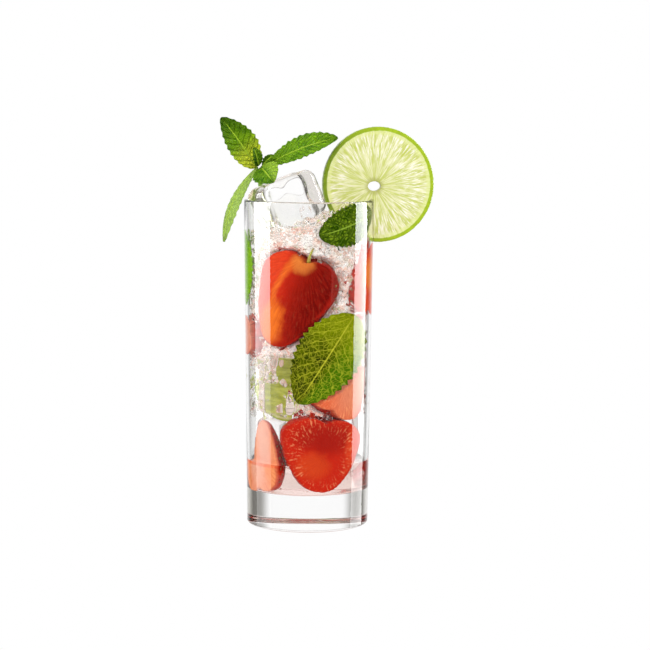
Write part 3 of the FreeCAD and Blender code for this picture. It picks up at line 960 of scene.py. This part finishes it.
def lime_finish():
    """Cut lime: green rind, thin pith, segments parted by pale skins and filled with long juice sacs."""
    material, sheet = finish("cut_lime")
    x, z, rim = sheet.split(sheet.carried("round"))
    angle = z.maths("ARCTAN2", x)
    reach = (x * x + z * z).maths("SQRT")
    at = sheet.place()
    sacs = sheet.grain(sheet.joined(angle * 13.0, reach * 0.11, 0.0), 3.0)
    fine = sheet.grain(sheet.joined(angle * 34.0, reach * 0.22, 5.0), 2.0)
    wander = sheet.grain(sheet.joined(angle * 1.1, 0.0, 9.0), 1.0) * 1.3
    turn = (angle * (segments / (2 * math.pi)) + wander).maths("FRACT")
    skin_gap = (0.5 - (turn - 0.5).maths("ABSOLUTE")) * reach * (2 * math.pi / segments)
    edge = rim + (sheet.grain(at, 2.0, scale=0.5) - 0.5) * 0.02
    peel = sheet.mixed(x.ramp(-26.0, 6.0), (0.17, 0.26, 0.008), (0.38, 0.53, 0.010))
    peel = sheet.mixed(sheet.grain(at, 3.0, scale=0.45).ramp(0.4, 0.6) * 0.4, peel, (0.26, 0.38, 0.01))
    colour = sheet.layered(
        (0.57, 0.62, 0.16),
        (sacs.ramp(0.36, 0.62), (0.80, 0.80, 0.48)),
        (fine.ramp(0.50, 0.64) * reach.ramp(6.0, 18.0) * 0.85, (0.94, 0.92, 0.83)),
        (fine.ramp(0.46, 0.34) * 0.6, (0.50, 0.57, 0.10)),
        (skin_gap.ramp(0.5, 0.15) * 0.6, (0.50, 0.57, 0.08)),
        (reach.ramp(5.5, 2.6) * 0.8, (0.42, 0.44, 0.11)),
        (edge.ramp(0.85, 0.89) * 0.7, (0.72, 0.78, 0.30)),
        (edge.ramp(0.925, 0.94), peel))
    bump = sheet.bumped(sacs * 0.5 + fine * 0.3 + sheet.grain(at, 2.0, scale=1.2) * 0.2, 0.35)
    return solid_finish(material, sheet, {"Base Color": colour, "Roughness": 0.3, "Normal": bump,
                                          "Specular IOR Level": 0.4})


settle(lime_slice(), lime_finish(), "lime", "lime_slice")


def lime_wedge():
    home = placing(lean=-4, turn=107, at=(-7.0, -6.2, 67.0))
    piece = even_copy("lime_piece", "lime_wedge", fruit_grid["lime"])
    mesh = piece.data
    spots, normals = spots_of(mesh), spots_of(mesh, "normal")
    local = through(home.inverted(), spots)
    radius = (wedge_depth ** 2 + (wedge_length / 2) ** 2) / (2 * wedge_depth)
    reach = np.hypot(local[:, 0], local[:, 1])
    rim = np.hypot(reach + radius - wedge_depth, local[:, 2]) / radius
    sacs = np.array([noise.noise(Vector((s[2] * 0.9, s[0] * 0.25, s[1] * 0.9))) for s in local])
    move_spots(mesh, spots + normals * (0.2 * sacs)[:, None])
    keep_on(mesh, "round", np.stack([local[:, 2], reach, rim], axis=1))
    return piece


def wedge_finish():
    material, sheet = finish("lime_piece_flesh")
    along, reach, rim = sheet.split(sheet.carried("round"))
    sacs = sheet.grain(sheet.joined(along * 0.5, reach * 0.12, 0.0), 3.0)
    colour = sheet.layered(
        (0.30, 0.34, 0.012),
        (sacs.ramp(0.38, 0.62), (0.50, 0.54, 0.06)),
        (rim.ramp(0.86, 0.90) * 0.8, (0.72, 0.72, 0.36)),
        (rim.ramp(0.93, 0.96), (0.36, 0.50, 0.02)))
    bump = sheet.bumped(sacs, 0.3)
    return solid_finish(material, sheet, {"Base Color": colour, "Roughness": 0.3, "Normal": bump})


settle(lime_wedge(), wedge_finish(), "lime", "lime_wedge")


# ---------------------------------------------------------------- crushed ice

ice_level = glass_height - 10.0
core_inset = 3.0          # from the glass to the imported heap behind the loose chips
core_bottom = 56.0
lump_spacing = 17.0
fruit_near_wall = 19.0    # the heap keeps behind fruit that lies farther out than this
fruit_gap, cube_gap, lime_gap = 1.0, 0.7, 1.0
chips_at_cube, chips_at_lime = 0.25, 0.75
top_margin = 0.25
beyond_food, inside_cubes, before_leaves = 30, 4, 26    # where rays along a radius start


def ice_height(x, y):
    turn = 2 * math.pi / lump_spacing
    lumps = math.sin(turn * x + 0.6) * math.cos(turn * y) + 0.5 * math.sin(2 * turn * y + x * turn)
    return ice_level + 0.16 * x + 1.3 * lumps


def met(solid, start, way):
    """How far from the axis a ray meets a solid, or endlessly far where it meets none."""
    hit = solid.ray_cast(start, way)[0]
    return hit.xy.length if hit else math.inf


def heap(name, loose=False, around=260, levels=170, rings=26, smoothings=5):
    """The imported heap. It keeps behind the fruit that lies near the glass and out of the clear cubes, with
    the lime in a pocket of loose ice. With loose, it is the sheet near the glass where loose chips lie."""
    fruit, clear, lime = solid_of(*berries), solid_of(*inner_cubes), solid_of("lime_wedge")
    leaves, top_cube = solid_of(*pressed_leaves), solid_of("ice_cube_top")
    ways, heights, reaches, room, margin = [], [], [], [], []

    def lump(x, y, z):
        at = Vector((x, y, z))
        return 0.75 * noise.noise(at / 4.5) + 0.35 * noise.noise(at / 1.7)

    def top_at(x, y):
        height = ice_height(x, y) - 1.8 + lump(x, y, 0.0)
        hit = top_cube.ray_cast(Vector((x, y, 100.0)), UP)[0]
        return min(height, hit.z - 0.5) if hit else height

    base = inner_radius(100.0) - core_inset
    for i in range(levels + 1):
        for j in range(around):
            way = heading(2 * math.pi * j / around)
            low = core_bottom + 2.0 * noise.noise(way * 2.5)
            height = low + (top_at(way.x * base, way.y * base) - low) * i / levels
            radius = inner_radius(height) - core_inset + lump(way.x * base, way.y * base, height)
            openness = 1.0
            level = Vector((0, 0, height))
            fruit_at = met(fruit, level + way * beyond_food, -way)
            if fruit_near_wall < fruit_at and fruit_at - fruit_gap < radius:
                radius, openness = fruit_at - fruit_gap, 0.0
            clear_at = met(clear, level + way * inside_cubes, way)
            if clear_at - cube_gap < radius:
                radius, openness = clear_at - cube_gap, min(openness, chips_at_cube)
            lime_at = met(lime, level + way * beyond_food, -way)
            pocket = noise.noise(Vector((way.x * 3.5, way.y * 3.5, height / 5.5))) > -0.22
            if pocket and 2.0 < lime_at - lime_gap < radius:
                radius, openness = lime_at - lime_gap, min(openness, chips_at_lime)
            ways.append(way)
            heights.append(height)
            reaches.append(base if loose else radius)
            room.append(openness)
            margin.append(1.0 if leaves.ray_cast(level + way * before_leaves, way)[0] else -wet_contact)
    field = np.array(reaches).reshape(levels + 1, around)
    for _ in range(0 if loose else smoothings):
        padded = np.pad(field, ((1, 1), (0, 0)), "edge")
        soft = (padded[:-2] + padded[2:] + np.roll(field, 1, axis=1) + np.roll(field, -1, axis=1)) / 4
        field = np.minimum(field, soft)
    points = [way * radius + UP * height for way, radius, height in zip(ways, field.ravel(), heights)]
    start = len(points) - around
    edge = points[start:]
    for k in range(1, rings):
        for x, y in ((spot.x * (1 - k / rings), spot.y * (1 - k / rings)) for spot in edge):
            points.append(Vector((x, y, top_at(x, y))))
    points += [UP * top_at(0.0, 0.0), UP * core_bottom]
    room += [1.0] * (len(points) - len(room) - 1) + [0.0]
    margin += [top_margin] * (len(points) - len(margin))
    faces = band_faces(around, levels + 1) + band_faces(around, rings, start)
    faces += fan_faces(around, start + (rings - 1) * around, len(points) - 2)
    faces += fan_faces(around, 0, len(points) - 1)
    core = new_piece(name, points, faces)
    keep_on(core.data, "room", room, "FLOAT")
    # How near each point lies to the fruit, for the painted reflection of the berries in the ice
    keep_on(core.data, "blush", [float(ease(9.0, 1.0, fruit.find_nearest(p)[3])) for p in points], "FLOAT")
    keep_on(core.data, "margin", margin, "FLOAT")
    return core


def chip_group(material):
    """Strews broken chips over a surface: unlike convex shards, turned and sized at random."""
    kinds = dict.fromkeys(("Spacing", "Smallest", "Largest", "Stand Off"), "Float")
    sheet, given, keys = grain_group("ice_chips", {**kinds, "Seed": "Int"})
    room = sheet.node("GeometryNodeInputNamedAttribute", {"data_type": "FLOAT"}, {"Name": "room"})
    strewn = sheet.node("GeometryNodeDistributePointsOnFaces", {"distribute_method": "POISSON"},
                        {"Mesh": given["Geometry"], "Distance Min": given["Spacing"], "Density Max": 6e5,
                         "Density Factor": room, "Seed": given["Seed"]})
    normal = Wire(sheet, strewn.socket.node.outputs["Normal"])
    away = sheet.scaled(normal, sheet.chance("FLOAT", 0.0, given["Stand Off"], 2))
    strewn = sheet.node("GeometryNodeSetPosition", None, {"Geometry": strewn, "Offset": away})
    shards = sheet.node("GeometryNodeJoinGeometry")
    forms = ((1.0, 0.8, 0.6), (1.1, 0.6, 0.5), (0.9, 0.9, 0.7), (1.25, 0.5, 0.45), (0.8, 0.75, 0.8))
    for k, form in enumerate(forms):
        ball = sheet.node("GeometryNodeMeshIcoSphere", None, {"Radius": 1.0, "Subdivisions": 1})
        dents = sheet.chance("FLOAT_VECTOR", (-0.8,) * 3, (0.8,) * 3, 20 + k)
        rough = sheet.node("GeometryNodeSetPosition", None, {"Geometry": ball, "Offset": dents})
        hull = sheet.node("GeometryNodeConvexHull", None, {0: rough})
        sized = sheet.node("GeometryNodeTransform", None, {"Geometry": hull, "Scale": form})
        single = sheet.node("GeometryNodeGeometryToInstance", None, {0: sized})
        sheet.tree.links.new(single.socket, shards.socket.node.inputs[0])
    strew(sheet, {"Points": strewn, "Instance": shards, "Pick Instance": True,
                  "Instance Index": sheet.chance("INT", 0, len(forms) - 1, 7),
                  "Rotation": sheet.chance("FLOAT_VECTOR", (0, 0, 0), (6.283,) * 3, 8),
                  "Scale": sheet.chance("FLOAT", given["Smallest"], given["Largest"], 9)}, material)
    return sheet, keys


def core_finish():
    """Packed ice: cells of white, grey and pink with thin darker lines between some of them. Near the berries
    it is painted redder, a painted reflection of the fruit in the ice, and the whole heap has a faint painted
    glow that stands in for light coming through the ice.
    """
    material, sheet = finish("packed_ice_white")
    at = sheet.place()
    drift = sheet.scaled(sheet.grain(at, 2.0, "Color", 0.35), 1.6)
    bent = sheet.node("ShaderNodeVectorMath", {"operation": "ADD"}, {0: at, 1: drift})
    small = sheet.scaled(bent, 0.62)
    gaps = sheet.cells(small, "DISTANCE_TO_EDGE")
    stops = [(0.0, (1.0, 0.97, 0.94)), (0.35, (0.94, 0.84, 0.77)), (0.55, (1.0, 0.96, 0.93)),
             (0.72, (0.88, 0.78, 0.70)), (0.84, (0.95, 0.68, 0.57)), (0.94, (0.66, 0.60, 0.52)),
             (1.0, (0.55, 0.60, 0.25))]
    tint = sheet.split(sheet.cells(small, "F1", "Color"))[0]
    blush = sheet.node("ShaderNodeAttribute", {"attribute_name": "blush"}, None, "Fac")
    colour = sheet.layered(
        sheet.node("ShaderNodeValToRGB", {"stops": stops}, {0: tint}),
        (gaps.ramp(0.09, 0.02) * sheet.grain(at, 2.0, scale=0.2).ramp(0.35, 0.6) * 0.8, (0.68, 0.24, 0.16)),
        (sheet.grain(at, 1.0, scale=0.13).ramp(0.52, 0.66) * 0.75, (1.0, 0.98, 0.96)),
        # Redder near the fruit: painted reflection of the berries in the ice
        (sheet.grain(bent, 3.0, scale=0.45).ramp(0.52, 0.60) * blush * 0.4, (0.88, 0.30, 0.18)))
    bump = sheet.bumped(gaps.ramp(0.0, 0.4), 0.8)
    # A faint glow in the colour of the ice: painted light that stands in for light coming through the ice from
    # behind
    return solid_finish(material, sheet, {"Base Color": colour, "Roughness": 0.25, "Normal": bump,
                                          "Emission Color": colour, "Emission Strength": 0.15})


core, bed = heap("packed_ice"), heap("loose_bed", loose=True)
sheet, keys = chip_group(clear_ice)
chip_rounds = {
    # spacing, smallest, largest, stand off, seed
    "ice_chips": (3.9, 1.5, 3.2, 1.8, 4),
    "ice_grit": (4.5, 0.5, 1.1, 2.6, 11),
}
for name, (*sizes, seed) in chip_rounds.items():
    chips = placed_object(name, bed.data.copy())
    grown(chips, sheet, keys, dict(zip(keys, [size * MM for size in sizes] + [seed])))
    spots, margin = spots_of(chips.data), np.empty(len(chips.data.vertices))
    chips.data.attributes["margin"].data.foreach_get("value", margin)
    inside = inner_radius(spots[:, 2]) - margin
    hold_within(chips.data, spots, np.where(spots[:, 2] > glass_height, rim_radius, inside))
    chips.data.shade_flat()
    settle(chips, clear_ice, "crushed_ice")
bpy.data.objects.remove(bed)
settle(core, core_finish(), "crushed_ice", "crushed_ice")


# ---------------------------------------------------------------- floor, lights and camera

far = 3000.0
floor = new_piece("floor", [(x, y, -0.1) for x, y in ((-far, -far), (far, -far), (far, far), (-far, far))],
                  [(0, 1, 2, 3)])
pale_floor, sheet = finish("pale_floor")
near_white = sheet.node("ShaderNodeEmission", None, {"Color": (0.96, 0.95, 0.93, 1.0)})
white = sheet.node("ShaderNodeEmission", None, {"Color": (1.0, 1.0, 1.0, 1.0)})
both = sheet.node("ShaderNodeMixShader", None, {0: sheet.ray("Is Camera Ray"), 1: near_white, 2: white})
sheet.node("ShaderNodeOutputMaterial", None, {"Surface": both})
floor.data.materials.append(pale_floor)
floor.visible_glossy = floor.visible_transmission = False

world = bpy.data.worlds.new("studio")
scene.world = world
world.use_nodes = True
world.node_tree.nodes.clear()
sheet = Sheet(world.node_tree)
x, y, z = sheet.split(sheet.node("ShaderNodeTexCoord", None, None, "Generated"))
aside, steep = x.maths("ABSOLUTE"), z.maths("ABSOLUTE")
# Seen through the glass: white behind and below, a dark room in front, and cards at both sides
shade = sheet.mixed(y.ramp(-0.6, -0.85) * steep.ramp(0.4, 0.28), (0.80, 0.77, 0.74), (0.05, 0.045, 0.04))
bright_part = y.ramp(0.38, 0.56) * z.ramp(-0.6, -0.35) + z.ramp(-0.7, -0.85)
card = sheet.mixed(x.ramp(-0.1, 0.1), (0.95, 0.93, 0.90), (0.68, 0.66, 0.60))
card = sheet.mixed(aside.ramp(0.78, 0.92), (0.22, 0.21, 0.19), card)
bent = sheet.layered(shade, (bright_part, (1.04, 1.04, 1.04)),
                     (aside.ramp(0.40, 0.64) * steep.ramp(0.32, 0.15), card))
# Mirrored by outer surfaces: dark but for the wall behind and the table below
mirrored = sheet.layered((0.01, 0.01, 0.01), (y.ramp(0.7, 0.95), (0.9, 0.9, 0.9)),
                         (z.ramp(-0.45, -0.65), (0.35, 0.35, 0.35)))
lit = sheet.mixed(z.ramp(-0.6, 0.8), (0.85, 0.83, 0.80), (1.25, 1.24, 1.22))
inside = sheet.ray("Ray Depth").ramp(2.4, 2.6)
shown = sheet.mixed(sheet.ray("Is Transmission Ray"), sheet.mixed(inside, mirrored, bent), bent)
shown = sheet.layered(shown, (sheet.ray("Is Diffuse Ray"), lit),
                      (sheet.ray("Is Camera Ray"), (1.0, 1.0, 1.0)))
background = sheet.node("ShaderNodeBackground", None, {"Color": shown})
sheet.node("ShaderNodeOutputWorld", None, {"Surface": background})


def panel(name, at, aim, width, height, radiance, colour=(1.0, 1.0, 1.0), left_below=None):
    """A soft box that looks at a point, in metres. With left_below it is a strip that shows in reflections
    only, and dims downwards to that share of its light over the part of its height in strip_fade."""
    light = bpy.data.lights.new(name, "AREA")
    light.shape, light.size, light.size_y = "RECTANGLE", width, height
    light.energy = radiance * width * height * math.pi
    light.color = colour
    strip = left_below is not None
    if strip:
        light.use_nodes = True
        light.node_tree.nodes.clear()
        sheet = Sheet(light.node_tree)
        up = sheet.split(sheet.node("ShaderNodeNewGeometry", None, None, "Parametric"))[1]
        low, high = strip_fade
        share = sheet.node("ShaderNodeMapRange", None, {0: up, 1: low, 2: high, 3: left_below, 4: 1.0})
        glow = sheet.node("ShaderNodeEmission", None, {"Strength": share})
        sheet.node("ShaderNodeOutputLight", None, {"Surface": glow})
    lamp = placed_object(name, light)
    lamp.location = at
    lamp.rotation_euler = (Vector(aim) - Vector(at)).to_track_quat("-Z", "Y").to_euler()
    lamp.visible_diffuse, lamp.visible_glossy = not strip, strip
    lamp.visible_transmission = lamp.visible_camera = False


middle, strip_aim, strip_fade = (0.0, 0.0, 0.09), (0, 0, 0.2), (0.373, 0.477)
panel("left_strip", (-0.99, 0.035, 0.2), strip_aim, 0.72, 2.6, 13.0, left_below=0.15)
panel("right_strip", (0.94, 0.305, 0.2), strip_aim, 0.63, 2.6, 12.0, left_below=0.45)
panel("key", (-0.55, -0.9, 0.9), middle, 0.6, 0.6, 3.0, (1.0, 0.98, 0.95))
panel("fill", (0.8, -0.9, 0.3), middle, 0.6, 0.6, 1.0)

camera_at, camera_aim, roll = Vector((0.0, -1.0, 0.198)), Vector((0.008, 0.0, 0.096)), math.radians(0.35)
ahead = (camera_aim - camera_at).normalized()
right = ahead.cross(UP).normalized()
over = right.cross(ahead)
right, over = right * math.cos(roll) + over * math.sin(roll), over * math.cos(roll) - right * math.sin(roll)
lens = bpy.data.cameras.new("camera")
lens.sensor_width, lens.lens = 36.0, 116.09
lens.clip_start, lens.clip_end = 0.01, 50.0
camera = placed_object("camera", lens)
camera.matrix_world = Matrix.Translation(camera_at) @ Matrix((right, over, -ahead)).transposed().to_4x4()
scene.camera = camera

scene.view_settings.view_transform = "Standard"
scene.cycles.max_bounces = 28
scene.cycles.transmission_bounces = 24
scene.cycles.glossy_bounces = 6
scene.cycles.diffuse_bounces = 3
scene.cycles.transparent_max_bounces = 64
scene.cycles.caustics_reflective = False
scene.cycles.caustics_refractive = False
scene.cycles.sample_clamp_indirect = 8.0
scene.cycles.use_denoising = True
